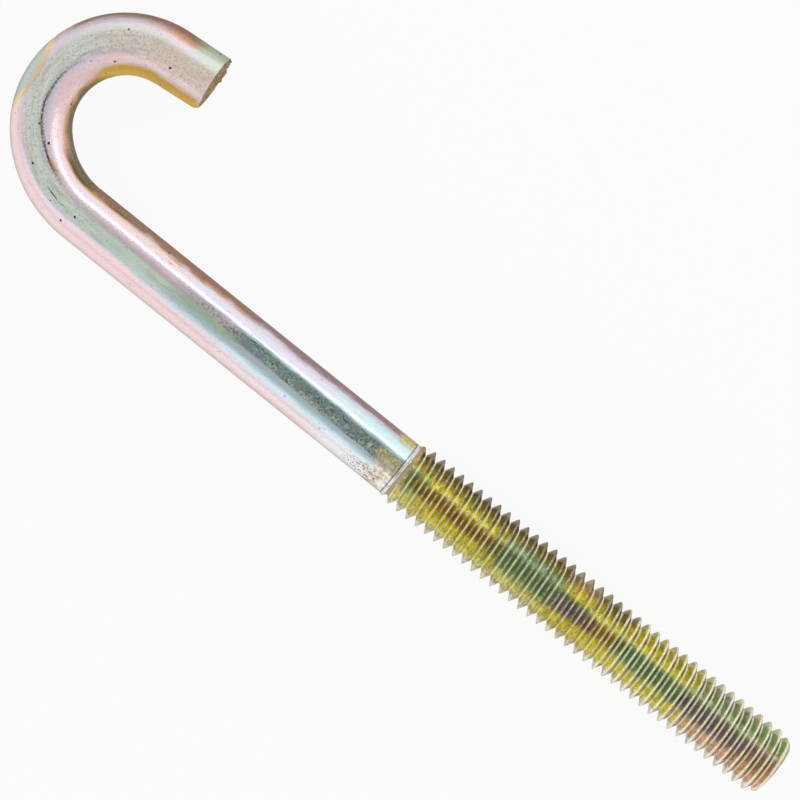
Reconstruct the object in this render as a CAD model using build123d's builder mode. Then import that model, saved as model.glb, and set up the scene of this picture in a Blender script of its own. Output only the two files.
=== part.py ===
"""J-hook: a plated steel rod, bent over at one end and rolled with a coarse thread at the other.

The shank's axis is X. The thread ends in a flat face at the origin and the hook is at negative X.
The hook lies in the XY plane and opens towards positive Y.
"""

import math
import os

from build123d import *

os.makedirs("parts", exist_ok=True)

# Thread: 3/8 inch, 16 to the inch, right hand
THREAD_DIAMETER = 9.4
THREAD_PITCH = 25.4 / 16
THREAD_LENGTH = 63.5
THREAD_ANGLE = 60.0
CREST_FLAT = THREAD_PITCH / 4
FIRST_GROOVE = 0.05
RUN_OUT_LENGTH = 1.5
DIE_MARK = 0.05
END_CHAMFER_LENGTH = 1.5
END_CHAMFER_DEPTH = 0.85

# Rod and hook
SHANK_DIAMETER = 8.2
SHANK_LENGTH = 54.2
LEAD_IN_RADIUS = 14.5
LEAD_IN_ANGLE = 48.0
BEND_RADIUS = 11.35
BEND_ANGLE = 127.0
TIP_LENGTH = 6.4
SHEAR_ROLLOVER = 1.0

# How far a cutter or a trimmed end stands clear of the solid that it meets
CLEARANCE = 1.0
GROOVE_CLEARANCE = 0.1

thread_radius = THREAD_DIAMETER / 2
shank_radius = SHANK_DIAMETER / 2
flank_slope = math.tan(math.radians(THREAD_ANGLE / 2))
groove_depth = (THREAD_PITCH - CREST_FLAT) / 2 / flank_slope
root_radius = thread_radius - groove_depth


def one_groove_turn():
    """One turn of the V groove about Z, as the solid to cut away."""
    outer_radius = thread_radius + GROOVE_CLEARANCE
    half_mouth = (outer_radius - root_radius) * flank_slope
    with BuildPart() as groove:
        with BuildSketch(Plane.XZ):
            with BuildLine():
                Polyline(
                    (root_radius, 0),
                    (outer_radius, half_mouth),
                    (outer_radius, -half_mouth),
                    close=True,
                )
            make_face()
        with BuildLine() as route:
            Helix(THREAD_PITCH, THREAD_PITCH, thread_radius)
        sweep(path=route.line, is_frenet=True)
    return groove.part


def threaded_end():
    """The thread along Z, from its run-out at the shank to its chamfered end."""
    quarter_turn = THREAD_PITCH / 4
    first_turn = FIRST_GROOVE - quarter_turn - THREAD_PITCH
    turns = math.ceil((THREAD_LENGTH - first_turn) / THREAD_PITCH) + 1
    with BuildPart() as thread:
        with BuildSketch(Plane.XZ):
            with BuildLine():
                Polyline(
                    (0, 0),
                    (shank_radius + DIE_MARK, 0),
                    (thread_radius, RUN_OUT_LENGTH),
                    (thread_radius, THREAD_LENGTH - END_CHAMFER_LENGTH),
                    (thread_radius - END_CHAMFER_DEPTH, THREAD_LENGTH),
                    (0, THREAD_LENGTH),
                    close=True,
                )
            make_face()
        revolve(axis=Axis.Z)
        with Locations([(0, 0, first_turn + k * THREAD_PITCH) for k in range(turns)]):
            add(one_groove_turn(), mode=Mode.SUBTRACT, clean=False)
        # The groove gets shallower over its last turn and ends level with the shank
        with BuildSketch(Plane.XZ):
            with BuildLine():
                Polyline(
                    (0, 0),
                    (shank_radius, 0),
                    (root_radius - GROOVE_CLEARANCE, RUN_OUT_LENGTH),
                    (0, RUN_OUT_LENGTH),
                    close=True,
                )
            make_face()
        revolve(axis=Axis.Z, clean=False)
    return thread.part


with BuildPart() as j_hook:
    # Rod along the hook's centreline
    with BuildLine() as centreline:
        shank = Line((-THREAD_LENGTH, 0), (-THREAD_LENGTH - SHANK_LENGTH, 0))
        lead_in = JernArc(shank @ 1, shank % 1, LEAD_IN_RADIUS, -LEAD_IN_ANGLE)
        bend = JernArc(lead_in @ 1, lead_in % 1, BEND_RADIUS, -BEND_ANGLE)
        tip_end = bend @ 1 + bend % 1 * TIP_LENGTH
        Line(bend @ 1, tip_end + bend % 1 * CLEARANCE)
    with BuildSketch(Plane(shank @ 0, z_dir=shank % 0)):
        Circle(shank_radius)
    sweep(path=centreline.line)

    # Sheared tip: a flat cut whose inner edge is rolled over
    with BuildSketch(Plane(tip_end, x_dir=bend % 1, z_dir=(0, 0, 1))):
        with BuildLine():
            cut = Line((0, shank_radius + CLEARANCE), (0, SHEAR_ROLLOVER - shank_radius))
            rolled = JernArc(cut @ 1, cut % 1, SHEAR_ROLLOVER, -90)
            Polyline(
                rolled @ 1,
                (-SHEAR_ROLLOVER, -shank_radius - CLEARANCE),
                (2 * CLEARANCE, -shank_radius - CLEARANCE),
                (2 * CLEARANCE, shank_radius + CLEARANCE),
                cut @ 0,
            )
        make_face()
    extrude(amount=SHANK_DIAMETER, both=True, mode=Mode.SUBTRACT)

    with Locations(Location((-THREAD_LENGTH, 0, 0), (0, 90, 0))):
        add(threaded_end(), clean=False)

j_hook.part.label = "j_hook"
export_step(j_hook.part, "parts/j_hook.step")
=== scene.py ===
"""J-hook: a zinc-plated steel rod with a pressed bend at one end and a rolled thread at the other.

The rod is one closed surface worked out in millimetres, unrolled along its centreline, and laid over
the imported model. Its colours are the thin chromate film of yellow zinc plate.
"""

import math
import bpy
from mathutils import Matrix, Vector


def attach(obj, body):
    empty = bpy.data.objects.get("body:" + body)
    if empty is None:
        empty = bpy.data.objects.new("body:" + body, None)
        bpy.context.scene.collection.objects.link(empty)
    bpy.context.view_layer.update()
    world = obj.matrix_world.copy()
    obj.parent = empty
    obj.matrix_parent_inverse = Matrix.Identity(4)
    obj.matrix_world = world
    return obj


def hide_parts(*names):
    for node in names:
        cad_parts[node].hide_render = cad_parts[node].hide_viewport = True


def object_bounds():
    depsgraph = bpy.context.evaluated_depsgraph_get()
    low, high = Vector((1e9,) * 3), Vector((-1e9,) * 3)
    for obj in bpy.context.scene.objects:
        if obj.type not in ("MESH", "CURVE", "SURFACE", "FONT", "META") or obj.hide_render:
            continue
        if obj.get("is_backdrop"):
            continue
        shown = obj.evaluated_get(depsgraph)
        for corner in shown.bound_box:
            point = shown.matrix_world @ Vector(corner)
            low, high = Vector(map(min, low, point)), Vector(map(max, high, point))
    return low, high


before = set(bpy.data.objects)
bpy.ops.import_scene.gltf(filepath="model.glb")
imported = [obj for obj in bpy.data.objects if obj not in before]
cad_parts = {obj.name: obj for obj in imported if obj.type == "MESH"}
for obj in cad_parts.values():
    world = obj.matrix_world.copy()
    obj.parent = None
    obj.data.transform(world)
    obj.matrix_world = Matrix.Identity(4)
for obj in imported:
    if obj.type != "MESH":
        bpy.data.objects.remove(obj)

from types import SimpleNamespace

import bpy
import numpy as np
from mathutils import Color, Vector

bl_info = {
    "name": "J-hook",
    "version": (1, 0, 0),
    "blender": (4, 5, 0),
    "location": "3D View > Sidebar > J-hook",
    "description": "Dresses the packed J-hook in its plated finish and sets the stage",
    "category": "Object",
}

MM = 0.001
CAD_LOW, CAD_HIGH = (list(corner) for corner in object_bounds())
THREAD_RADIUS = CAD_HIGH[2] / MM
GRAIN = "plate grain"
STREAKS = "drawn streaks"

# Columns around the rod, by their angle from the top towards the hook's side
COLUMNS = 96
AROUND = np.arange(COLUMNS) * 2 * math.pi / COLUMNS
ACROSS = np.sin(AROUND)
UP = np.cos(AROUND)
SHARP_ANGLE = math.radians(50)

# Rows of the mesh, with spacings in millimetres, and the rings at the burr as shares of the tip's radius
ROWS_PER_HALF_TURN = 7
RING_SPACING = 0.55
TIP_RING_SPACING = 0.12
TIP_ZONE = 1.6
CAP_RINGS = 14
BURR_RINGS = (1, 0.985, 0.965, 0.945, 0.92, 0.89)

# Thread's rounded corners and its run-out, in millimetres
CREST_ROUNDING = 0.025
ROOT_ROUNDING = 0.02
DIE_STEP = 0.2
CREST_GROWTH = 2.2
GROOVE_GROWTH = 1.4

# Pressed flats: how far before the bend they start and how long they grow, in millimetres, their lean in
# degrees at places along the rod, and the cosine past which a flat no longer reaches round
PRESS_LEAD = 18
PRESS_GROWTH = 26
LEAN_PLACES = (50, 56, 70, 80, 90)
LEAN_ANGLES = (-4, -6, -13, -3, 9)
FLAT_REACH = 0.2
EDGE_ROUNDING = 0.03
TIP_ROUNDING = 0.06

# Crease, bulge and sheared tip, in millimetres
CREASE_ENDS = (56, 82)
CREASE_WIDTH = 0.2
CREASE_DEPTH = 0.11
BULGE_GROWTH = 12
BULGE_FADE = 8
ROLLED_LENGTH = 1.0
ROLLED_DEPTH = 0.55
BURR_HEIGHT = 0.16
DISH_DEPTH = 0.15

# Single marks: along the rod in millimetres, and across it from its outer side, 0, to its inner side, 1
ARCH_CENTRE = 73.2
ARCH_HALF_WIDTH = 4.3
ARCH_HEIGHT = 0.25
SCRATCH_SIDE = 0.42
SCRATCH_ENDS = (55.5, 59.5)
GOLD_STREAK_SIDE = 0.64
GOLD_STREAK_ENDS = (58.8, 62.8)

# Plate: its sheen at a grazing angle, and the depth of its bumps in millimetres
GRAZING_TINT = (0.62, 0.57, 0.52, 1)
ROD_BUMP = 0.025
THREAD_BUMP = 0.008
TORN_BUMP = 0.12

# Lamps: name, distance beside and above the aim, length and width in metres, and watts
LAMPS = (
    ("key lamp", 0.52, 0.27, 1.3, 0.44, 0.45),
    ("strip lamp", 0.42, 0.395, 1.3, 0.04, 0.36),
    ("fill lamp", -0.62, 0.36, 1.5, 0.5, 0.5),
)

# Floor, in metres, and how much of what the camera sees of it is plain white
FLOOR_SIZE = 4
FLOOR_GAP = 0.0002
WHITE_SHARE = 0.9

# Dome: height, from 0 at the horizon to 1 overhead, and brightness there
DOME = ((0.0, 0.82), (0.7, 0.74), (0.97, 0.66))


def measure(name, description, default, low=0.0):
    """A length setting in millimetres."""
    return bpy.props.FloatProperty(name=name, description=description, default=default, min=low)


def angle(name, description, degrees):
    """An angle setting."""
    radians = math.radians(degrees)
    return bpy.props.FloatProperty(name=name, description=description, default=radians, subtype="ANGLE")


def film(name, description, colour):
    """A colour setting."""
    return bpy.props.FloatVectorProperty(name=name, description=description, default=colour, subtype="COLOR")


class RodSizes(bpy.types.PropertyGroup):
    """The rod's dimensions, in millimetres"""

    thread_length: measure("Thread length", "From the shank to the end face", 63.5, 10)
    thread_pitch: measure("Pitch", "From one crest to the next", 1.5875, 0.2)
    thread_angle: angle("Thread angle", "Between the two flanks", 60)
    crest_flat: measure("Crest width", "Width of the crest before rounding", 0.16)
    root_diameter: measure("Root diameter", "Across the bottom of the groove", 7.12, 1)
    first_crest: measure("First crest", "Where the first crest crosses the rod's top line", 1.237)
    chamfer_length: measure("Chamfer length", "Along the threaded end", 1.5)
    chamfer_depth: measure("Chamfer depth", "Off the radius at the threaded end", 0.85)
    shank_diameter: measure("Shank diameter", "Across the plain rod", 8.15, 1)
    shank_length: measure("Shank length", "Straight length between thread and bend", 54.2, 1)
    lead_in_radius: measure("Lead-in radius", "Centreline radius where the bend starts", 14.5, 5)
    lead_in_angle: angle("Lead-in angle", "How far the lead-in turns", 48)
    bend_radius: measure("Bend radius", "Centreline radius of the main bend", 11.35, 5)
    bend_angle: angle("Bend angle", "How far the main bend turns", 127)
    tip_length: measure("Tip length", "Straight length after the bend", 6.4)
    press_depth: measure("Press depth", "How deep the bending tool flattened the rod", 0.25)
    bulge: measure("Bulge", "How far the bend swells on its inner side", 0.15)


class PlateColours(bpy.types.PropertyGroup):
    """Colours of the chromate film, from its thinnest to its thickest, and of the marks in it"""

    pearl: film("Pearl", "Nearly bare zinc", (0.90, 0.90, 0.93))
    sky: film("Sky", "Pale blue beside the highlight", (0.68, 0.87, 0.90))
    mist: film("Mist", "Grey-blue", (0.50, 0.64, 0.68))
    mint: film("Mint", "Pale green", (0.70, 0.84, 0.72))
    sage: film("Sage", "Grey-green", (0.46, 0.60, 0.44))
    # Teal is partly a painted reflection of the dark room on the shank, and painted shade on the thread's
    # flanks.
    teal: film("Teal", "Dark blue-green", (0.21, 0.33, 0.31))
    lavender: film("Lavender", "Pale violet", (0.80, 0.76, 0.87))
    mauve: film("Mauve", "Grey-violet", (0.62, 0.56, 0.60))
    plum: film("Plum", "Dark violet-brown", (0.34, 0.23, 0.26))
    blush: film("Blush", "Palest pink", (0.96, 0.80, 0.80))
    rose: film("Rose", "Pink", (0.94, 0.70, 0.72))
    sand: film("Sand", "Pale pink-yellow", (0.86, 0.72, 0.61))
    copper: film("Copper", "Orange-brown", (0.66, 0.38, 0.24))
    bronze: film("Bronze", "Red-brown", (0.34, 0.19, 0.14))
    gold: film("Gold", "Deep yellow", (0.80, 0.52, 0.12))
    moss: film("Moss", "Dark yellow-green", (0.27, 0.23, 0.12))
    umber: film("Umber", "Dark grey-brown", (0.20, 0.16, 0.11))
    ash: film("Ash", "Grey steel where the tool rubbed", (0.44, 0.44, 0.39))
    stone: film("Stone", "Pale grey-green", (0.76, 0.78, 0.70))
    tan: film("Tan", "Light brown of stains and worn crests", (0.55, 0.38, 0.20))
    olive: film("Olive", "Grey-olive at the thread's edges and its end", (0.42, 0.39, 0.20))
    straw: film("Straw", "Yellow of the thread and the arch", (0.90, 0.82, 0.12))
    # Lemon across the middle of the thread is partly a painted highlight.
    lemon: film("Lemon", "Pale yellow-green of the thread", (1.00, 0.98, 0.40))
    olive_film: film("Thread olive", "Dark yellow-green of the thread", (0.54, 0.49, 0.13))
    walnut: film("Walnut", "Brown of the thread and the stains", (0.60, 0.45, 0.11))
    lime: film("Lime", "Yellow-green of the thread and the stains", (0.76, 0.80, 0.36))
    sea: film("Sea", "Dark green of the thread", (0.39, 0.54, 0.31))
    heather: film("Heather", "Violet of the thread", (0.46, 0.39, 0.43))
    rosewood: film("Rosewood", "Red-brown of the thread", (0.70, 0.50, 0.33))
    brick: film("Brick", "Pink-brown of the thread", (0.90, 0.68, 0.56))
    # Cream is also a painted highlight, on the thread's roots and on its crests at the outer side.
    cream: film("Cream", "Crests and roots of the thread, and stains", (1.00, 0.97, 0.86))
    # Soot in the crease is painted shade.
    soot: film("Soot", "Pits, grime, scratches and the crease", (0.06, 0.05, 0.045))


class StageSettings(bpy.types.PropertyGroup):
    """Camera and floor"""

    camera_turn: angle("Camera turn", "Turn of the camera about its own line of sight", 38.8)
    camera_height: measure("Camera height", "Above the rod's axis, in mm", 398.0, 100)
    frame_width: measure("Frame width", "Width of the picture at the rod's axis, in mm", 106.2)
    aim_before_thread: measure("Aim along", "From the thread's start to the picture's centre, in mm", 5.64)
    aim_beside_axis: measure("Aim across", "From the shank's axis to the picture's centre, in mm", 7.13)
    floor_colour: film("Floor", "Colour of the floor", (0.9, 0.9, 0.9))


def soft_min(a, b, width):
    """The lower of a and b, with the corner between them rounded over about the given width."""
    return -width * np.logaddexp(-a / width, -b / width)


def soft_max(a, b, width):
    """The higher of a and b, with the corner between them rounded over about the given width."""
    return width * np.logaddexp(a / width, b / width)


def ease(x):
    """Smooth step: 0 below 0, 1 above 1, and level at both ends."""
    x = np.clip(x, 0, 1)
    return x * x * (3 - 2 * x)


def rod_length(s):
    """Length of the centreline from the thread's start to the tip, in mm."""
    lead_in = s.lead_in_radius * s.lead_in_angle
    bend = s.bend_radius * s.bend_angle
    return s.shank_length + lead_in + bend + s.tip_length


def centreline(d, s):
    """Point and heading of the centreline at distance d from the thread's start, towards the tip.

    Each piece, straight or round, adds its own share of the way: a straight one its length times the
    heading, and an arc the difference of sines and cosines of the heading at its two ends.
    """
    x, y = np.full_like(d, -s.thread_length), np.zeros_like(d)
    heading = np.zeros_like(d)
    pieces = (
        (s.shank_length, 0.0),
        (s.lead_in_radius * s.lead_in_angle, 1 / s.lead_in_radius),
        (s.bend_radius * s.bend_angle, 1 / s.bend_radius),
        (s.tip_length + 1, 0.0),
    )
    start, turned = 0.0, 0.0
    for length, curvature in pieces:
        run = np.clip(d - start, 0, length)
        if curvature:
            x -= (np.sin(turned + curvature * run) - math.sin(turned)) / curvature
            y -= (np.cos(turned + curvature * run) - math.cos(turned)) / curvature
        else:
            x -= run * math.cos(turned)
            y += run * math.sin(turned)
        heading += curvature * run
        start += length
        turned += curvature * length
    return x, y, heading


def laid(d, r, lift, s):
    """Points at radius r round the centreline at distance d, pushed on along it by lift."""
    x, y, heading = centreline(d, s)
    px = x + r * ACROSS * np.sin(heading) - lift * np.cos(heading)
    py = y + r * ACROSS * np.cos(heading) + lift * np.sin(heading)
    return px, py, r * UP


def thread_surface(a, s):
    """Radius, height on the flank and side of the crest at a mm from the thread's start, for every column.

    Height is 0 at the root and 1 at the crest. The side goes from -1 to 1 and is above 0 on the flank that
    faces the free end.

    The distance along the axis to the nearest crest gives a straight flank. Crest and root cut it off with
    a rounded corner. A third of the crest's height comes at once, where the die stopped, and the rest over
    the first turns, in which the groove sinks too. A cone chamfers the end.
    """
    shank, crest, root = s.shank_diameter / 2, THREAD_RADIUS, s.root_diameter / 2
    slope = math.tan(s.thread_angle / 2)
    turn = (a - s.first_crest) / s.thread_pitch + AROUND / (2 * math.pi)
    to_crest = np.abs(turn - np.round(turn)) * s.thread_pitch
    r = crest + (s.crest_flat / 2 - to_crest) / slope
    r = soft_min(r, np.full_like(r, crest), CREST_ROUNDING)
    r = soft_max(r, np.full_like(r, root), ROOT_ROUNDING)
    height = np.clip((r - root) / (crest - root), 0, 1)
    grown = 0.35 * ease(a / DIE_STEP) + 0.65 * ease((a - DIE_STEP) / CREST_GROWTH)
    sunk = ease(a / GROOVE_GROWTH)
    r = shank + np.maximum(r - shank, 0) * grown + np.minimum(r - shank, 0) * sunk
    into_chamfer = (a - s.thread_length + s.chamfer_length) / s.chamfer_length
    cone = crest + 0.02 - (s.chamfer_depth + 0.02) * into_chamfer
    r = soft_min(r, cone, ROOT_ROUNDING)
    return r, height, np.sin(2 * math.pi * turn)


def rod_surface(d, s):
    """Radius of the shank and the hook, and its rubbed and creased share, d mm from the thread's start.

    A circle, swollen a little on the inner side of the bend, cut off above and below it by a pressed flat.
    The flats lean outwards in the bend and inwards at the tip. A fine crease runs down their inner edge.
    """
    shank = s.shank_diameter / 2
    pressed = ease((d - s.shank_length + PRESS_LEAD) / PRESS_GROWTH)
    swollen = ease((d - s.shank_length) / BULGE_GROWTH)
    swollen = swollen * (1 - ease((d - rod_length(s) + BULGE_FADE) / BULGE_FADE))
    lean = np.radians(np.interp(d, LEAN_PLACES, LEAN_ANGLES))
    level = shank - s.press_depth * pressed
    flat_edge = math.sqrt(2 * shank * s.press_depth)
    r = shank + s.bulge * swollen * np.maximum(ACROSS, 0) ** 2
    rubbed, crease = 0 * r, 0 * r
    for turned in (AROUND - lean, math.pi - AROUND - lean):
        towards = np.cos(turned)
        flat = level / np.maximum(towards, FLAT_REACH)
        clipped = soft_min(r, flat, EDGE_ROUNDING + TIP_ROUNDING * ease((d - 80) / 8))
        rubbed = np.where(towards > FLAT_REACH, np.maximum(rubbed, ease((r - clipped) / 0.05)), rubbed)
        off_edge = (np.sin(turned) * shank - flat_edge) / CREASE_WIDTH
        line = np.exp(-off_edge ** 2) * ease((d - CREASE_ENDS[0]) / 6) * ease((CREASE_ENDS[1] - d) / 8)
        line = line * (towards > 0)
        crease = np.maximum(crease, line)
        r = np.where(towards > FLAT_REACH, clipped, r) - CREASE_DEPTH * line
    return r, rubbed * pressed, crease


def closed(index):
    """Point numbers of a grid with its first column repeated after its last, which closes it around."""
    return np.hstack([index, index[:, :1]])


def quads_of(index):
    """Four corners of each cell of a grid of point numbers, turning from the columns to the rows."""
    return np.stack([index[:-1, :-1], index[:-1, 1:], index[1:, 1:], index[1:, :-1]], -1).reshape(-1, 4)


def weld(data, quads, slots):
    """Points, triangles and slots, with one point for each place and no triangle without area."""
    _, first, same = np.unique(np.round(data[:, :3], 5), axis=0, return_index=True, return_inverse=True)
    quads = same.ravel()[quads]
    triangles = np.vstack([quads[:, [0, 1, 2]], quads[:, [0, 2, 3]]])
    a, b, c = triangles.T
    kept = (a != b) & (b != c) & (a != c)
    return data[first], triangles[kept], np.tile(slots, 2)[kept]


class Patchwork:
    """Grids of points with their surface values, gathered into one mesh"""

    def __init__(self):
        self.blocks, self.quads, self.slots, self.count = [], [], [], 0

    def add(self, points, place, marks, slot, number):
        """One grid: parts of its points, places and marks, its material slot, and how its points join up."""
        shape = np.broadcast_shapes(*(np.shape(part) for part in points))
        values = [np.broadcast_to(part, shape).ravel() for part in (*points, *place, *marks)]
        self.blocks.append(np.stack(values, 1))
        new = quads_of(number(np.arange(values[0].size).reshape(shape))) + self.count
        self.quads.append(new)
        self.slots.append(np.full(len(new), slot))
        self.count += values[0].size

    def welded(self):
        """Points with their values, triangles and slots of the whole."""
        return weld(np.concatenate(self.blocks), np.concatenate(self.quads), np.concatenate(self.slots))


def add_bent_rod(work, s):
    """The shank and the hook as rings along the centreline, with the tip's inner edge rolled over.

    The rolled edge is a quarter circle, squashed to its depth. It gives back the radius of the last ring.
    """
    total = rod_length(s)
    d = np.concatenate([
        np.arange(0, total - TIP_ZONE, RING_SPACING),
        np.arange(total - TIP_ZONE, total, TIP_RING_SPACING), [total]])[:, None]
    r, rubbed, crease = rod_surface(d, s)
    rolled = np.clip(1 - (total - d) / ROLLED_LENGTH, 0, 1)
    r = r - ROLLED_DEPTH * (1 - np.sqrt(1 - rolled ** 2)) * ease((ACROSS - 0.1) / 0.7)
    work.add(laid(d, r, 0.0, s), (d, r * ACROSS, r * UP), (rubbed, crease, 0), 0, closed)
    return r[-1:]


def add_sheared_face(work, s, tip_r):
    """The tip's end, torn on its outer side.

    Rings that shrink to the middle and sink to a shallow dish. Near the rim, three waves around it add up to
    a toothed burr.
    """
    share = np.concatenate([BURR_RINGS, np.linspace(0.85, 0, CAP_RINGS)])[:, None]
    teeth = 0.07 * np.sin(7 * AROUND + 1) + 0.09 * np.sin(17 * AROUND) + 0.08 * np.sin(31 * AROUND + 2)
    burr = np.maximum(BURR_HEIGHT + teeth, 0) * ease(0.6 - 1.6 * ACROSS)
    dish = -DISH_DEPTH * (1 - share ** 2) * (1 + 0.5 * np.sin(3 * share * ACROSS + 1))
    lift = burr * np.exp(-((share - 0.96) / 0.03) ** 2) * (share < 1) + dish
    total, r = rod_length(s), share * tip_r
    points = laid(np.full((1, 1), total), r, lift, s)
    work.add(points, (total + lift, r * ACROSS, r * UP), (0, 0, 0), 2, closed)


def add_thread(work, s):
    """The thread, on rows that follow its helix. It gives back the radius of the last row.

    Crest and root are rows of their own: at one turn round, row k goes on as row k less the rows of one
    pitch. Rows that would run past either end of the thread are held at it.
    """
    half = 0.25 * (1 - np.cos(np.linspace(0, math.pi, ROWS_PER_HALF_TURN + 1)))
    phases = np.concatenate([half[:-1], 1 - half[:0:-1]])
    turns = int(s.thread_length / s.thread_pitch) + 4
    rows = ((np.arange(turns)[:, None] - 2 + phases) * s.thread_pitch + s.first_crest).ravel()[:, None]
    a = np.clip(rows - s.thread_pitch * AROUND / (2 * math.pi), 0, s.thread_length)
    r, height, flank = thread_surface(a, s)

    def helical(index):
        beyond = np.maximum(np.arange(len(index)) - len(phases), 0)
        return np.hstack([index, index[beyond, :1]])[:, ::-1]

    points = (a - s.thread_length, r * ACROSS, r * UP)
    work.add(points, (-a, r * ACROSS, r * UP), (height, flank, 0), 1, helical)
    return r[-1:]


def add_end_face(work, s, end_r):
    """The flat end of the thread, as rings that shrink to the middle."""
    r = np.linspace(1, 0, CAP_RINGS)[:, None] * end_r
    place = (-s.thread_length, r * ACROSS, r * UP)
    work.add((0, r * ACROSS, r * UP), place, (0, 0, 1), 1, lambda index: closed(index)[:, ::-1])


def rod_mesh(s):
    """Points with their surface values, triangles and slots of the whole rod, in mm."""
    work = Patchwork()
    tip_r = add_bent_rod(work, s)
    add_sheared_face(work, s, tip_r)
    end_r = add_thread(work, s)
    add_end_face(work, s, end_r)
    return work.welded()


def make_object(name, points, triangles):
    """A mesh object at the origin from points in mm and triangles, smooth between sharp edges."""
    mesh = bpy.data.meshes.new(name)
    mesh.vertices.add(len(points))
    mesh.vertices.foreach_set("co", (points * MM).ravel())
    mesh.loops.add(triangles.size)
    mesh.loops.foreach_set("vertex_index", triangles.ravel().astype(np.int32))
    mesh.polygons.add(len(triangles))
    mesh.polygons.foreach_set("loop_start", np.arange(0, triangles.size, 3, dtype=np.int32))
    mesh.polygons.foreach_set("use_smooth", np.ones(len(triangles), dtype=bool))
    mesh.update(calc_edges=True)
    mesh.validate()
    mesh.set_sharp_from_angle(angle=SHARP_ANGLE)
    thing = bpy.data.objects.new(name, mesh)
    bpy.context.scene.collection.objects.link(thing)
    return thing


def add_values(thing, name, values):
    """Stores a vector of surface values on the points of a piece."""
    layer = thing.data.attributes.new(name, "FLOAT_VECTOR", "POINT")
    layer.data.foreach_set("vector", values.astype(np.float32).ravel())


class Painter:
    """Short ways to add and link shader nodes in one node tree"""

    def __init__(self, tree):
        self.tree = tree

    def add(self, kind, *inputs, **settings):
        """A node with its settings made and its first inputs fed."""
        node = self.tree.nodes.new("ShaderNode" + kind)
        for key, value in settings.items():
            setattr(node, key, value)
        for socket, value in zip(node.inputs, inputs):
            self.feed(socket, value)
        return node

    def feed(self, socket, value):
        """Links a socket, or sets its value."""
        if isinstance(value, bpy.types.NodeSocket):
            self.tree.links.new(value, socket)
        elif isinstance(value, Color):
            socket.default_value = (*value, 1)
        else:
            socket.default_value = value

    def math(self, operation, *inputs):
        """One sum on numbers."""
        return self.add("Math", *inputs, operation=operation).outputs[0]

    def times(self, first, *others):
        """The product of masks and numbers."""
        for other in others:
            first = self.math("MULTIPLY", first, other)
        return first

    def highest(self, first, *others):
        """The highest of some masks."""
        for other in others:
            first = self.math("MAXIMUM", first, other)
        return first

    def less(self, x, off):
        """x less another number."""
        return self.math("SUBTRACT", x, off)

    def scaled(self, x, factor, plus):
        """x times a factor, plus another number."""
        return self.math("MULTIPLY_ADD", x, factor, plus)

    def step(self, x, low, high, start=0.0, end=1.0):
        """Goes smoothly from start to end as x goes from low to high."""
        return self.add("MapRange", x, low, high, start, end, interpolation_type="SMOOTHSTEP").outputs[0]

    def within(self, x, low, high, soft):
        """1 where x is between low and high, and 0 beyond, over a soft edge."""
        return self.times(self.step(x, low, low + soft), self.step(x, high - soft, high, 1.0, 0.0))

    def mix(self, share, first, second):
        """Two colours mixed by a share."""
        node = self.add("Mix", data_type="RGBA")
        for index, value in ((0, share), (6, first), (7, second)):
            self.feed(node.inputs[index], value)
        return node.outputs[2]

    def ramp(self, x, stops):
        """A colour read off a row of (position, colour) stops."""
        node = self.add("ValToRGB", x)
        points = node.color_ramp.elements
        while len(points) < len(stops):
            points.new(0.5)
        for point, (position, colour) in zip(points, stops):
            point.position = position
            point.color = (*colour, 1)
        return node.outputs[0]

    def bands(self, x, way, stations):
        """Ramps across a part that follow each other along it: each station is (starts, is full, stops)."""
        _, _, stops = stations[0]
        colour = self.ramp(x, stops)
        for start, full, stops in stations[1:]:
            colour = self.mix(self.step(way, start, full), colour, self.ramp(x, stops))
        return colour

    def noise(self, place, scale, detail=2.0, roughness=0.5):
        """Soft noise from 0 to 1, with the given number of waves per unit of place."""
        node = self.add("TexNoise")
        self.feed(node.inputs["Vector"], place)
        node.inputs["Scale"].default_value = scale
        node.inputs["Detail"].default_value = detail
        node.inputs["Roughness"].default_value = roughness
        return node.outputs[0]

    def group(self, name, place):
        """Outputs of a named node group at a place."""
        node = self.tree.nodes.new("ShaderNodeGroup")
        node.node_tree = bpy.data.node_groups[name]
        self.feed(node.inputs[0], place)
        return node.outputs

    def stretched(self, place, x, y, z):
        """A place scaled by its own amount along each axis."""
        return self.add("VectorMath", place, (x, y, z), operation="MULTIPLY").outputs[0]

    def split(self, place):
        """The three parts of a place."""
        return self.add("SeparateXYZ", place).outputs

    def attribute(self, name):
        """The surface values stored under a name, as a vector."""
        return self.add("Attribute", attribute_name=name).outputs["Vector"]

    def body(self):
        """Object coordinates in millimetres."""
        return self.stretched(self.add("TexCoord").outputs["Object"], 1 / MM, 1 / MM, 1 / MM)


def new_group(name, masks):
    """A node group from a place to some masks: its painter, its place and the sockets of its masks."""
    tree = bpy.data.node_groups.new(name, "ShaderNodeTree")
    tree.interface.new_socket(name="Place", in_out="INPUT", socket_type="NodeSocketVector")
    for mask in masks:
        tree.interface.new_socket(name=mask, in_out="OUTPUT", socket_type="NodeSocketFloat")
    place = tree.nodes.new("NodeGroupInput").outputs[0]
    return Painter(tree), place, tree.nodes.new("NodeGroupOutput").inputs


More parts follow.
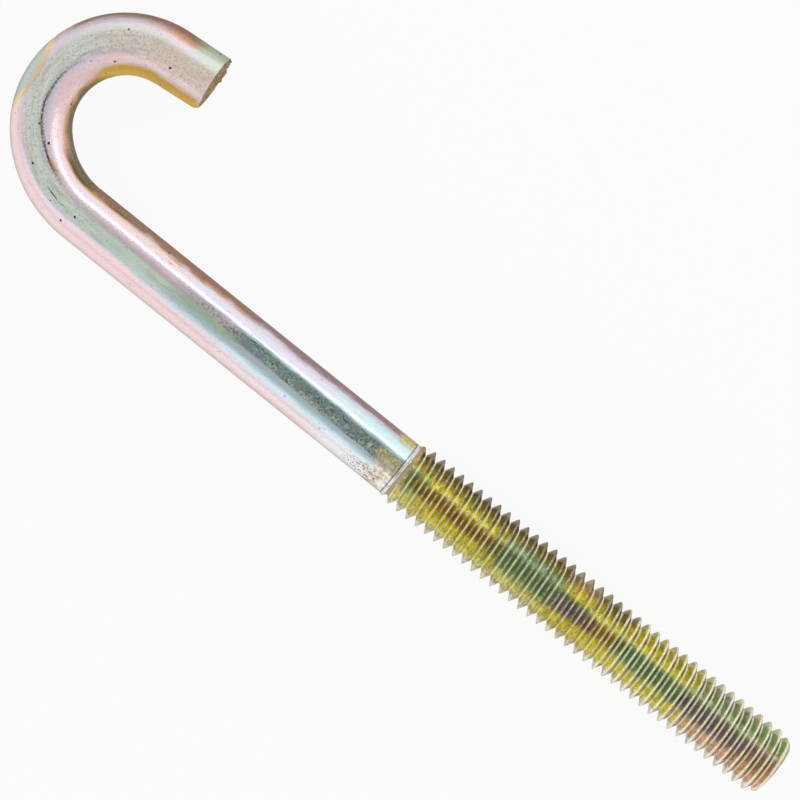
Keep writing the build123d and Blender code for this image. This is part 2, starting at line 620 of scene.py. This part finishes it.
def grain_group():
    """Fine grain of the plate, from a place in millimetres: specks, soft clouds and sparse dark pits."""
    paint, place, outputs = new_group(GRAIN, ("Specks", "Clouds", "Pits"))
    fine = paint.noise(place, 4.2, 2.0, 0.7)
    paint.feed(outputs["Specks"], paint.step(fine, 0.5, 0.64))
    paint.feed(outputs["Clouds"], paint.noise(place, 0.22, 3.0, 0.55))
    cells = paint.add("TexVoronoi", place, feature="F1")
    cells.inputs["Scale"].default_value = 0.8
    chance = paint.split(cells.outputs["Color"])[0]
    size = paint.step(chance, 0.72, 1.0, 0.1, 0.24)
    ragged = paint.scaled(fine, 0.3, cells.outputs["Distance"])
    dot = paint.step(paint.less(ragged, size), 0.03, 0.08, 1.0, 0.0)
    paint.feed(outputs["Pits"], paint.times(dot, paint.step(chance, 0.72, 0.74)))


def streak_group():
    """Streaks drawn out along the rod, from its unrolled place: soft ones, and fine dark scratches."""
    paint, place, outputs = new_group(STREAKS, ("Streaks", "Scratches"))
    paint.feed(outputs["Streaks"], paint.noise(paint.stretched(place, 0.3, 2.4, 2.4), 1.0, 5.0, 0.65))
    fine = paint.noise(paint.stretched(place, 0.9, 9.0, 9.0), 1.0, 1.0, 0.5)
    where = paint.noise(paint.stretched(place, 0.16, 0.5, 0.5), 1.0, 1.0, 0.5)
    scratches = paint.times(paint.step(fine, 0.66, 0.74), paint.step(where, 0.5, 0.62))
    paint.feed(outputs["Scratches"], scratches)


def new_paint(name):
    """A new material and its painter."""
    material = bpy.data.materials.new(name)
    material.use_nodes = True
    return material, Painter(material.node_tree)


def finish_shader(paint, colour, roughness, height, depth):
    """Feeds the metal shader its colour, roughness and bumps of a depth in millimetres."""
    shader = paint.tree.nodes["Principled BSDF"]
    shader.inputs["Metallic"].default_value = 1.0
    shader.inputs["Specular Tint"].default_value = GRAZING_TINT
    paint.feed(shader.inputs["Base Color"], colour)
    paint.feed(shader.inputs["Roughness"], roughness)
    bump = paint.add("Bump")
    bump.inputs["Strength"].default_value = 1.0
    bump.inputs["Distance"].default_value = depth * MM
    paint.feed(bump.inputs["Height"], height)
    paint.feed(shader.inputs["Normal"], bump.outputs[0])
    return shader


def rod_stations(c):
    """Film colours across the rod, from its outer side, 0, to its inner side, 1, at stations along it.

    A station is (where it starts, where it is full, stops), in mm from the thread's start. The dark teal in
    the middle of the first two stations is partly the film's green and partly a painted reflection of the
    dark room overhead.
    """
    # Painted shade: the dark plum, bronze, umber and moss stops at the inner edge, from the thread to the
    # bend, are partly the film and partly painted shade.
    return (
        (0, 0, (
            (0.00, c.pearl), (0.18, c.pearl), (0.26, c.sky), (0.32, c.mist), (0.38, c.mist),
            # Painted reflection: the dark teal from 0.41 to 0.62, here and in the next station, stands partly
            # for the dark room overhead.
            (0.41, c.teal), (0.62, c.teal), (0.66, c.mist), (0.70, c.sky), (0.85, c.sky),
            (0.90, c.mauve), (0.94, c.plum), (1.00, c.plum))),
        (6, 16, (
            (0.00, c.rose), (0.13, c.blush), (0.21, c.lavender), (0.27, c.sky), (0.32, c.mist),
            (0.38, c.mist), (0.43, c.mauve), (0.47, c.teal), (0.62, c.teal), (0.67, c.mist),
            (0.73, c.lavender), (0.86, c.lavender), (0.89, c.mauve), (0.93, c.plum), (1.00, c.plum))),
        (24, 32, (
            (0.00, c.blush), (0.16, c.rose), (0.23, c.lavender), (0.31, c.mist), (0.38, c.mist),
            (0.42, c.sage), (0.51, c.sage), (0.56, c.mauve), (0.64, c.mauve), (0.69, c.lavender),
            (0.84, c.lavender), (0.88, c.copper), (0.93, c.bronze), (1.00, c.bronze))),
        (36, 43, (
            (0.00, c.blush), (0.14, c.rose), (0.25, c.rose), (0.30, c.mist), (0.36, c.mint),
            (0.50, c.mint), (0.56, c.mauve), (0.63, c.rose), (0.68, c.lavender), (0.77, c.rose),
            (0.84, c.sand), (0.89, c.bronze), (1.00, c.bronze))),
        (48, 56, (
            (0.00, c.blush), (0.20, c.rose), (0.28, c.lavender), (0.33, c.mint), (0.50, c.mint),
            (0.57, c.mauve), (0.64, c.rose), (0.76, c.lavender), (0.84, c.rose), (0.88, c.moss),
            (0.93, c.umber), (1.00, c.umber))),
        (60, 67, (
            (0.00, c.blush), (0.17, c.rose), (0.26, c.lavender), (0.30, c.stone), (0.52, c.mint),
            (0.58, c.mauve), (0.65, c.lavender), (0.74, c.rose), (0.90, c.rose), (0.95, c.copper),
            (0.98, c.moss), (1.00, c.umber))),
        (76, 82, (
            (0.00, c.plum), (0.06, c.bronze), (0.14, c.mauve), (0.22, c.lavender), (0.28, c.stone),
            (0.55, c.stone), (0.63, c.mauve), (0.71, c.rose), (0.80, c.rose), (0.86, c.sand),
            (0.91, c.gold), (1.00, c.gold))),
        (85, 92, (
            (0.00, c.bronze), (0.09, c.bronze), (0.17, c.copper), (0.24, c.rose), (0.30, c.lavender),
            (0.36, c.sand), (0.62, c.sand), (0.72, c.rose), (0.83, c.blush), (0.88, c.sand),
            (0.92, c.gold), (1.00, c.gold))),
    )


def thread_stations(c):
    """Film colours across the thread, from the outer side, 0, to the hook's side, 1, at stations along it.

    A station is (where it starts, where it is full, stops), in mm from the thread's start. The paler stops
    near 0.65 lie on the strip lamp's line and are partly a painted highlight.
    """
    # Painted highlight: the lemon and straw from 0.60 to 0.68 brighten the strip lamp's line.
    yellow = (
        (0.05, c.cream), (0.15, c.lemon), (0.22, c.straw), (0.32, c.straw), (0.40, c.walnut),
        (0.55, c.walnut), (0.60, c.lemon), (0.64, c.lemon), (0.68, c.straw), (0.76, c.olive_film),
        (0.82, c.olive_film), (0.88, c.umber), (1.00, c.olive))
    return (
        (0, 0, (
            (0.05, c.cream), (0.15, c.lemon), (0.30, c.lime), (0.38, c.sea), (0.50, c.olive_film),
            (0.60, c.sea), (0.65, c.lime), (0.72, c.olive_film), (0.82, c.olive_film), (0.88, c.umber),
            (1.00, c.olive))),
        (2.5, 5, yellow),
        (15, 19, (
            (0.05, c.cream), (0.15, c.lemon), (0.25, c.lime), (0.35, c.sea), (0.58, c.sea),
            (0.65, c.mint), (0.72, c.sea), (0.82, c.olive_film), (0.89, c.umber), (1.00, c.olive))),
        (25, 27.5, (
            (0.00, c.cream), (0.14, c.straw), (0.27, c.straw), (0.36, c.heather), (0.52, c.heather),
            (0.60, c.sea), (0.65, c.straw), (0.75, c.straw), (0.82, c.rosewood), (0.92, c.olive),
            (1.00, c.stone))),
        (31, 32.5, yellow),
        (34.5, 37.5, (
            (0.05, c.cream), (0.15, c.lemon), (0.20, c.straw), (0.29, c.lime), (0.37, c.sea),
            (0.59, c.sea), (0.64, c.lime), (0.70, c.straw), (0.78, c.olive_film), (0.84, c.straw),
            (0.92, c.olive), (1.00, c.stone))),
        (46, 51, (
            (0.05, c.cream), (0.16, c.brick), (0.25, c.brick), (0.34, c.heather), (0.56, c.heather),
            (0.61, c.sea), (0.66, c.stone), (0.72, c.sea), (0.80, c.sea), (0.87, c.heather),
            (0.93, c.lime), (1.00, c.stone))),
        (57, 60, (
            (0.05, c.cream), (0.16, c.brick), (0.27, c.rosewood), (0.48, c.rosewood), (0.57, c.heather),
            (0.66, c.brick), (0.73, c.sea), (0.86, c.sea), (0.92, c.lime), (1.00, c.mint))),
    )


def rod_places(paint, s):
    """Where a point of the rod lies, its marks, and the noises that several effects share."""
    at = SimpleNamespace()
    at.body = paint.body()
    at.unrolled = paint.attribute("rod_place")
    at.along, across, _ = paint.split(at.unrolled)
    at.rubbed, at.crease, _ = paint.split(paint.attribute("rod_marks"))
    at.specks, clouds, at.pits = paint.group(GRAIN, at.body)
    at.streaks, at.scratches = paint.group(STREAKS, at.unrolled)
    at.flecks = paint.noise(at.body, 3.3, 3.0, 0.8)
    at.patches = paint.noise(at.body, 1.1, 3.0, 0.7)
    at.drawn = paint.scaled(at.flecks, 0.5, paint.times(at.streaks, 0.5))
    wander = paint.scaled(clouds, 0.1, -0.05)
    wander = paint.math("ADD", wander, paint.scaled(at.streaks, 0.11, -0.055))
    at.side = paint.math("ADD", paint.scaled(across, 1 / s.shank_diameter, 0.5), wander)
    at.way = paint.scaled(clouds, 14.0, paint.less(at.along, 7.0))
    at.way = paint.scaled(at.streaks, 10.0, paint.less(at.way, 5.0))
    return at


def rubbed_film(paint, c, at, colour):
    """Grey and pale streaks where the bending tool rubbed."""
    light = paint.mix(paint.step(at.way, 76, 86), c.stone, c.sand)
    mottle = paint.mix(paint.step(at.drawn, 0.40, 0.50), c.ash, light)
    mottle = paint.mix(paint.step(at.streaks, 0.53, 0.60, 0.0, 0.8), mottle, c.pearl)
    uneven = paint.step(at.patches, 0.35, 0.6, 0.9, 0.4)
    share = paint.times(at.rubbed, uneven, paint.step(at.along, 80, 92, 1.0, 0.6))
    return paint.mix(share, colour, mottle)


def gold_arch(paint, c, at, colour):
    """A gold arch on the outside of the bend, over a grey-green patch: a parabola along the rod."""
    run = paint.scaled(at.along, 1 / ARCH_HALF_WIDTH, -ARCH_CENTRE / ARCH_HALF_WIDTH)
    arch = paint.scaled(paint.times(run, run), -ARCH_HEIGHT, ARCH_HEIGHT)
    above = paint.less(at.side, paint.scaled(at.drawn, 0.12, paint.less(arch, 0.06)))
    under = paint.mix(paint.step(at.drawn, 0.44, 0.54), c.sage, c.mist)
    colour = paint.mix(paint.step(above, -0.05, -0.02, 0.8, 0.0), colour, under)
    leaf = paint.mix(paint.step(at.side, 0.06, 0.2), c.straw, c.gold)
    leaf = paint.mix(paint.step(at.drawn, 0.40, 0.6, 0.2, 0.7), leaf, c.sand)
    return paint.mix(paint.times(paint.within(above, -0.06, 0.065, 0.035), 0.85), colour, leaf)


def green_corner(paint, c, at, colour):
    """Pale green on the outer side of the tip."""
    reach = paint.scaled(at.drawn, 9.0, paint.less(at.along, 4.5))
    corner = paint.times(paint.step(reach, 92.6, 95.4), paint.step(at.side, 0.2, 0.5, 1.0, 0.0), 0.85)
    green = paint.mix(paint.step(at.side, 0.1, 0.22), c.sage, c.mint)
    return paint.mix(corner, colour, green)


def speckled_band(paint, c, at, colour):
    """Dark, pale and green specks in a band that starts beside the thread and narrows towards the bend."""
    low = paint.step(at.along, 4, 34, 0.38, 0.52)
    outer = paint.step(paint.less(at.side, low), -0.03, 0.03)
    inner = paint.step(at.side, 0.60, 0.66, 1.0, 0.0)
    band = paint.times(outer, inner, paint.step(at.way, 26, 40, 1.0, 0.0))
    green = paint.times(paint.step(at.patches, 0.46, 0.60), paint.step(at.side, 0.64, 0.46), band)
    colour = paint.mix(green, colour, c.sage)
    fleck = paint.mix(paint.step(at.patches, 0.44, 0.50), c.plum, c.soot)
    colour = paint.mix(paint.times(paint.step(at.flecks, 0.50, 0.56, 0.0, 0.85), band), colour, fleck)
    grit = paint.noise(paint.stretched(at.unrolled, 3.2, 5.0, 5.0), 1.0, 2.0, 0.8)
    pale = paint.mix(paint.step(at.patches, 0.44, 0.52), c.mauve, c.mist)
    return paint.mix(paint.times(paint.step(grit, 0.56, 0.64, 0.0, 0.5), band), colour, pale)


def small_specks(paint, c, at, colour):
    """Fine dark and pale specks everywhere, strongest where the tool rubbed."""
    worn = paint.scaled(at.rubbed, 0.3, 0.15)
    colour = paint.mix(paint.times(worn, paint.step(at.flecks, 0.54, 0.62)), colour, c.umber)
    return paint.mix(paint.times(worn, paint.step(at.flecks, 0.44, 0.36)), colour, c.pearl)


def rust_stains(paint, c, at, colour):
    """Stains beside the thread: tan on the outer half, yellow-brown in the middle and at the inner edge."""
    reach = paint.scaled(at.patches, -8.0, at.along)
    outer = paint.times(paint.step(reach, -1.6, 0.2, 1.0, 0.0), paint.step(at.side, 0.44, 0.52, 1.0, 0.0))
    tan = paint.mix(paint.step(at.patches, 0.35, 0.65), c.cream, c.tan)
    colour = paint.mix(paint.times(outer, 0.8), colour, tan)
    rust = paint.mix(paint.step(at.flecks, 0.42, 0.54), c.lime, c.walnut)
    middle = paint.times(paint.step(reach, -1.2, 0.6, 1.0, 0.0), paint.within(at.side, 0.44, 0.66, 0.06))
    colour = paint.mix(paint.times(middle, 0.7), colour, rust)
    inner = paint.times(paint.step(reach, -2.2, -0.6, 1.0, 0.0), paint.step(at.side, 0.84, 0.90))
    return paint.mix(paint.times(inner, 0.8), colour, rust)


def hair_line(paint, at, side, ends, sharp, soft, fade):
    """A fine line along the rod that wavers with its streaks, from one end to the other."""
    off = paint.math("ABSOLUTE", paint.scaled(at.streaks, 0.04, paint.less(at.side, side)))
    return paint.times(paint.step(off, sharp, soft, 1.0, 0.0), paint.within(at.along, *ends, fade))


def dark_marks(paint, at):
    """Mask of painted shade in the crease, a scratch, pits, dots beside the stains and the ring where the
    thread starts.
    """
    # Painted shade: a ragged dark line along the crease.
    ragged = paint.step(paint.scaled(at.flecks, 5.0, paint.less(at.crease, 2.5)), 0.15, 0.55)
    crease = paint.times(ragged, at.crease, paint.step(at.along, 70, 82, 1.0, 0.45))
    pits = paint.times(at.pits, paint.step(at.way, 30, 50, 0.4, 1.0))
    scratch = hair_line(paint, at, SCRATCH_SIDE, SCRATCH_ENDS, 0.003, 0.012, 1.2)
    dots = paint.times(paint.within(at.along, 0.5, 7.5, 2.0), paint.within(at.side, 0.02, 0.24, 0.05),
                       paint.step(at.flecks, 0.55, 0.60))
    ring = paint.step(at.along, 0.05, 0.2, 0.7, 0.0)
    return paint.highest(crease, pits, paint.times(at.scratches, 0.5), scratch, dots, ring)


def rod_material(c, s):
    """Plate on the shank and the hook: bands of film colour that lie along the rod, worn and marked, with a
    painted reflection in the dark middle band and painted shade at the inner edge and in the crease.
    """
    material, paint = new_paint("plated rod")
    at = rod_places(paint, s)
    colour = paint.bands(at.side, at.way, rod_stations(c))
    for effect in (rubbed_film, gold_arch, green_corner, speckled_band, small_specks, rust_stains):
        colour = effect(paint, c, at, colour)
    streak = hair_line(paint, at, GOLD_STREAK_SIDE, GOLD_STREAK_ENDS, 0.01, 0.02, 1.0)
    colour = paint.mix(paint.times(streak, 0.8), colour, c.gold)
    marks = dark_marks(paint, at)
    colour = paint.mix(marks, colour, c.soot)
    dull = paint.highest(at.rubbed, paint.step(at.along, 72, 84))
    roughness = paint.scaled(dull, 0.24, paint.step(at.along, 50, 66, 0.17, 0.25))
    roughness = paint.scaled(at.specks, 0.08, roughness)
    height = paint.scaled(marks, -1.0, paint.times(at.streaks, 0.6))
    height = paint.scaled(at.specks, -0.12, height)
    finish_shader(paint, colour, roughness, height, ROD_BUMP)
    return material


def thread_places(paint):
    """Where a point of the thread lies, its marks, and the noises that several effects share."""
    at = SimpleNamespace()
    body = paint.body()
    at.along, across, _ = paint.split(paint.attribute("rod_place"))
    at.height, at.flank, at.end = paint.split(paint.attribute("rod_marks"))
    at.specks, _, at.pits = paint.group(GRAIN, body)
    at.fine = paint.noise(paint.stretched(body, 2.6, 0.9, 0.9), 1.0, 4.0, 0.75)
    at.patch = paint.noise(body, 0.8, 2.0, 0.6)
    at.seam = paint.noise(body, 3.0, 3.0, 0.8)
    at.way = paint.scaled(paint.noise(body, 0.35, 3.0, 0.6), 8.0, paint.less(-4.0, at.along))
    at.way = paint.scaled(at.flank, 1.2, at.way)
    side = paint.scaled(across, 0.5 / THREAD_RADIUS, 0.42)
    side = paint.scaled(at.fine, 0.2, paint.less(side, 0.02))
    at.side = paint.scaled(at.flank, 0.035, side)
    return at


def flank_film(paint, c, at):
    """Bands on the flanks, with painted shade: browner on those that face the free end, with dark green
    patches on the others.
    """
    colour = paint.bands(at.side, at.way, thread_stations(c))
    # Painted shade: flanks that face the free end are tinted brown, and those that face the shank get dark
    # green patches.
    lee_shade = paint.times(paint.step(at.flank, 0.0, 0.6), paint.step(at.way, 10, 38, 0.1, 0.2))
    colour = paint.mix(lee_shade, colour, c.walnut)
    painted_shade = paint.times(paint.step(at.patch, 0.52, 0.62), paint.step(at.flank, 0.3, -0.3, 0.1, 0.35))
    return paint.mix(painted_shade, colour, c.teal)


def crest_film(paint, c, at):
    """Crests: worn and brown near the shank, pale towards the free end, with a painted highlight in cream at
    the outer side and dark spots at its edge.
    """
    crest = paint.mix(paint.step(at.patch, 0.42, 0.58), c.mauve, c.tan)
    crest = paint.mix(paint.step(at.seam, 0.44, 0.36, 0.0, 0.8), crest, c.sand)
    crest = paint.mix(paint.step(at.seam, 0.46, 0.54, 0.0, 0.85), crest, c.umber)
    crest = paint.mix(paint.step(at.side, 0.8, 0.9, 0.0, 0.6), crest, c.umber)
    pale = paint.mix(paint.step(at.seam, 0.58, 0.46), c.sand, c.cream)
    pale = paint.mix(paint.step(at.patch, 0.45, 0.6, 0.0, 0.5), pale, c.lemon)
    crest = paint.mix(paint.step(at.way, 31, 38), crest, pale)
    # Painted highlight: crests on the outer side turn cream.
    crest = paint.mix(paint.step(at.side, 0.12, 0.03, 0.0, 0.8), crest, c.cream)
    # Dark spots on the tops of the crests at the outer edge.
    dark_crest_spots = paint.times(paint.step(at.side, 0.03, -0.01), paint.step(at.patch, 0.5, 0.56),
                        paint.step(at.height, 0.96, 0.99))
    return paint.mix(dark_crest_spots, crest, c.soot)


def bare_start(paint, c, at, colour):
    """A nearly bare ring where the thread starts, and a tan one after it."""
    bare = paint.mix(paint.step(at.side, 0.2, 0.7), c.pearl, c.lavender)
    bare = paint.mix(paint.step(at.along, -0.7, -0.6), c.tan, bare)
    return paint.mix(paint.step(at.along, -1.15, -0.9, 0.0, 0.8), colour, bare)


def thread_dirt(paint, at):
    """Mask of fine grain, pits and the two dark rings where the thread starts."""
    ring = paint.math("ABSOLUTE", paint.math("ADD", at.along, 0.62))
    return paint.highest(
        paint.step(at.fine, 0.50, 0.64, 0.0, 0.45), paint.times(at.pits, 0.6),
        paint.step(ring, 0.05, 0.14, 0.6, 0.0), paint.step(at.along, -0.1, -0.02, 0.0, 0.7))


def thread_material(c):
    """Plate on the thread: film on the flanks, worn crests, roots painted as a pale matt highlight and a
    plain end face.
    """
    material, paint = new_paint("plated thread")
    at = thread_places(paint)
    rim = paint.step(at.way, 31, 38, 0.88, 0.83)
    rolled = paint.step(paint.less(at.height, rim), 0.0, 0.07)
    # Painted highlight: the roots get cream, more roughness and less metal, so that they show as a bright
    # line.
    root = paint.step(at.height, 0.12, 0.04)
    colour = paint.mix(paint.times(rolled, 0.9), flank_film(paint, c, at), crest_film(paint, c, at))
    colour = paint.mix(root, colour, c.cream)
    colour = bare_start(paint, c, at, colour)
    colour = paint.mix(at.end, colour, paint.mix(paint.step(at.patch, 0.3, 0.7), c.olive, c.sand))
    colour = paint.mix(thread_dirt(paint, at), colour, c.umber)
    roughness = paint.scaled(at.specks, 0.1, 0.14)
    roughness = paint.scaled(rolled, 0.25, roughness)
    roughness = paint.scaled(root, 0.25, roughness)
    shader = finish_shader(paint, colour, roughness, paint.times(at.specks, -1.0), THREAD_BUMP)
    # Painted highlight: less metal in the roots.
    paint.feed(shader.inputs["Metallic"], paint.scaled(root, -0.85, 1.0))
    return material


def tip_material(c):
    """Torn steel on the sheared face, under a thin plate."""
    material, paint = new_paint("sheared face")
    body = paint.body()
    specks, _, _ = paint.group(GRAIN, body)
    torn = paint.noise(paint.stretched(body, 1.0, 1.0, 0.35), 1.6, 5.0, 0.7)
    colour = paint.mix(paint.step(torn, 0.35, 0.65), c.umber, c.tan)
    colour = paint.mix(paint.times(specks, 0.4), colour, c.soot)
    finish_shader(paint, colour, paint.scaled(torn, 0.2, 0.4), torn, TORN_BUMP)
    return material


class BuildRod(bpy.types.Operator):
    """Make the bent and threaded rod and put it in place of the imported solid"""

    bl_idname = "jhook.build_rod"
    bl_label = "Rod"

    def execute(self, context):
        sizes, colours = context.scene.jhook_rod, context.scene.jhook_colours
        data, triangles, slots = rod_mesh(sizes)
        rod = make_object("bent_threaded_rod", data[:, :3], triangles)
        add_values(rod, "rod_place", data[:, 3:6])
        add_values(rod, "rod_marks", data[:, 6:9])
        grain_group()
        streak_group()
        for material in (rod_material(colours, sizes), thread_material(colours), tip_material(colours)):
            rod.data.materials.append(material)
        rod.data.polygons.foreach_set("material_index", slots.astype(np.int32))
        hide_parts("j_hook")
        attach(rod, "root")
        return {"FINISHED"}


def area_light(name, place, aim, length, width, watts):
    """A soft rectangular lamp at a place in metres, facing the aim."""
    lamp = bpy.data.lights.new(name, "AREA")
    lamp.shape = "RECTANGLE"
    lamp.size, lamp.size_y, lamp.energy = length, width, watts
    thing = bpy.data.objects.new(name, lamp)
    bpy.context.scene.collection.objects.link(thing)
    thing.location = place
    thing.rotation_mode = "QUATERNION"
    thing.rotation_quaternion = (Vector(aim) - Vector(place)).to_track_quat("-Z", "Y")


def background_rays(tree):
    """1 for rays from the camera and gloss reflections, which see the plain backdrop, and 0 for the rest."""
    path = tree.nodes.new("ShaderNodeLightPath")
    either = tree.nodes.new("ShaderNodeMath")
    either.operation = "MAXIMUM"
    tree.links.new(path.outputs["Is Camera Ray"], either.inputs[0])
    tree.links.new(path.outputs["Is Glossy Ray"], either.inputs[1])
    return either.outputs[0]


def floor_material(colour):
    """White paper with a faint shadow: mostly plain backdrop where it is seen, and paint where it is lit."""
    material = bpy.data.materials.new("floor paper")
    material.use_nodes = True
    tree = material.node_tree
    paint = tree.nodes["Principled BSDF"]
    paint.inputs["Base Color"].default_value = (*colour, 1)
    paint.inputs["Roughness"].default_value = 0.9
    glow = tree.nodes.new("ShaderNodeEmission")
    glow.inputs["Color"].default_value = (1, 1, 1, 1)
    glow.inputs["Strength"].default_value = 1.0
    share = tree.nodes.new("ShaderNodeMath")
    share.operation = "MULTIPLY"
    share.inputs[1].default_value = WHITE_SHARE
    tree.links.new(background_rays(tree), share.inputs[0])
    mixed = tree.nodes.new("ShaderNodeMixShader")
    tree.links.new(share.outputs[0], mixed.inputs[0])
    tree.links.new(paint.outputs[0], mixed.inputs[1])
    tree.links.new(glow.outputs[0], mixed.inputs[2])
    tree.links.new(mixed.outputs[0], tree.nodes["Material Output"].inputs["Surface"])
    return material


def studio_world():
    """A soft white dome, greyer straight overhead, where the camera hangs."""
    world = bpy.data.worlds.new("studio")
    world.use_nodes = True
    paint = Painter(world.node_tree)
    height = paint.split(paint.add("TexCoord").outputs["Generated"])[2]
    dome = paint.ramp(height, [(position, (grey, grey, grey)) for position, grey in DOME])
    paint.feed(world.node_tree.nodes["Background"].inputs["Color"], dome)
    return world


class BuildStage(bpy.types.Operator):
    """Make the floor, the lamps and the camera"""

    bl_idname = "jhook.build_stage"
    bl_label = "Stage"

    def execute(self, context):
        stage = context.scene.jhook_stage
        rod = context.scene.jhook_rod
        aim_x = -(rod.thread_length + stage.aim_before_thread) * MM
        aim_y = stage.aim_beside_axis * MM
        bpy.ops.mesh.primitive_plane_add(size=FLOOR_SIZE, location=(aim_x, aim_y, CAD_LOW[2] - FLOOR_GAP))
        floor = context.object
        floor.name = "floor"
        floor.data.materials.append(floor_material(stage.floor_colour))
        floor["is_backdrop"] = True
        context.scene.world = studio_world()
        for name, beside, above, length, width, watts in LAMPS:
            area_light(name, (aim_x, aim_y + beside, above), (aim_x, aim_y, 0), length, width, watts)
        camera = bpy.data.cameras.new("camera")
        camera.lens = camera.sensor_width * stage.camera_height / stage.frame_width
        camera.clip_start = 0.01
        eye = bpy.data.objects.new("camera", camera)
        context.scene.collection.objects.link(eye)
        eye.location = (aim_x, aim_y, stage.camera_height * MM)
        eye.rotation_euler = (0, 0, stage.camera_turn)
        context.scene.camera = eye
        context.scene.view_settings.view_transform = "Standard"
        return {"FINISHED"}


class JHOOK_PT_panel(bpy.types.Panel):
    """Sidebar panel with the rod's sizes and colours, the stage and their buttons"""

    bl_label = "J-hook"
    bl_space_type = "VIEW_3D"
    bl_region_type = "UI"
    bl_category = "J-hook"

    def draw(self, context):
        scene = context.scene
        for settings, operator in (
            ((scene.jhook_rod, scene.jhook_colours), BuildRod.bl_idname),
            ((scene.jhook_stage,), BuildStage.bl_idname),
        ):
            box = self.layout.box()
            for group in settings:
                for name in group.bl_rna.properties.keys():
                    if name not in {"rna_type", "name"}:
                        box.prop(group, name)
            box.operator(operator)


CLASSES = (RodSizes, PlateColours, StageSettings, BuildRod, BuildStage, JHOOK_PT_panel)


def register():
    """Registers the classes and hangs the settings on the scene."""
    for one in CLASSES:
        bpy.utils.register_class(one)
    bpy.types.Scene.jhook_rod = bpy.props.PointerProperty(type=RodSizes)
    bpy.types.Scene.jhook_colours = bpy.props.PointerProperty(type=PlateColours)
    bpy.types.Scene.jhook_stage = bpy.props.PointerProperty(type=StageSettings)


def unregister():
    """Takes the settings off the scene and removes the classes."""
    del bpy.types.Scene.jhook_stage
    del bpy.types.Scene.jhook_colours
    del bpy.types.Scene.jhook_rod
    for one in reversed(CLASSES):
        bpy.utils.unregister_class(one)


def main():
    register()
    bpy.ops.jhook.build_rod()
    bpy.ops.jhook.build_stage()


if __name__ == "__main__":
    main()
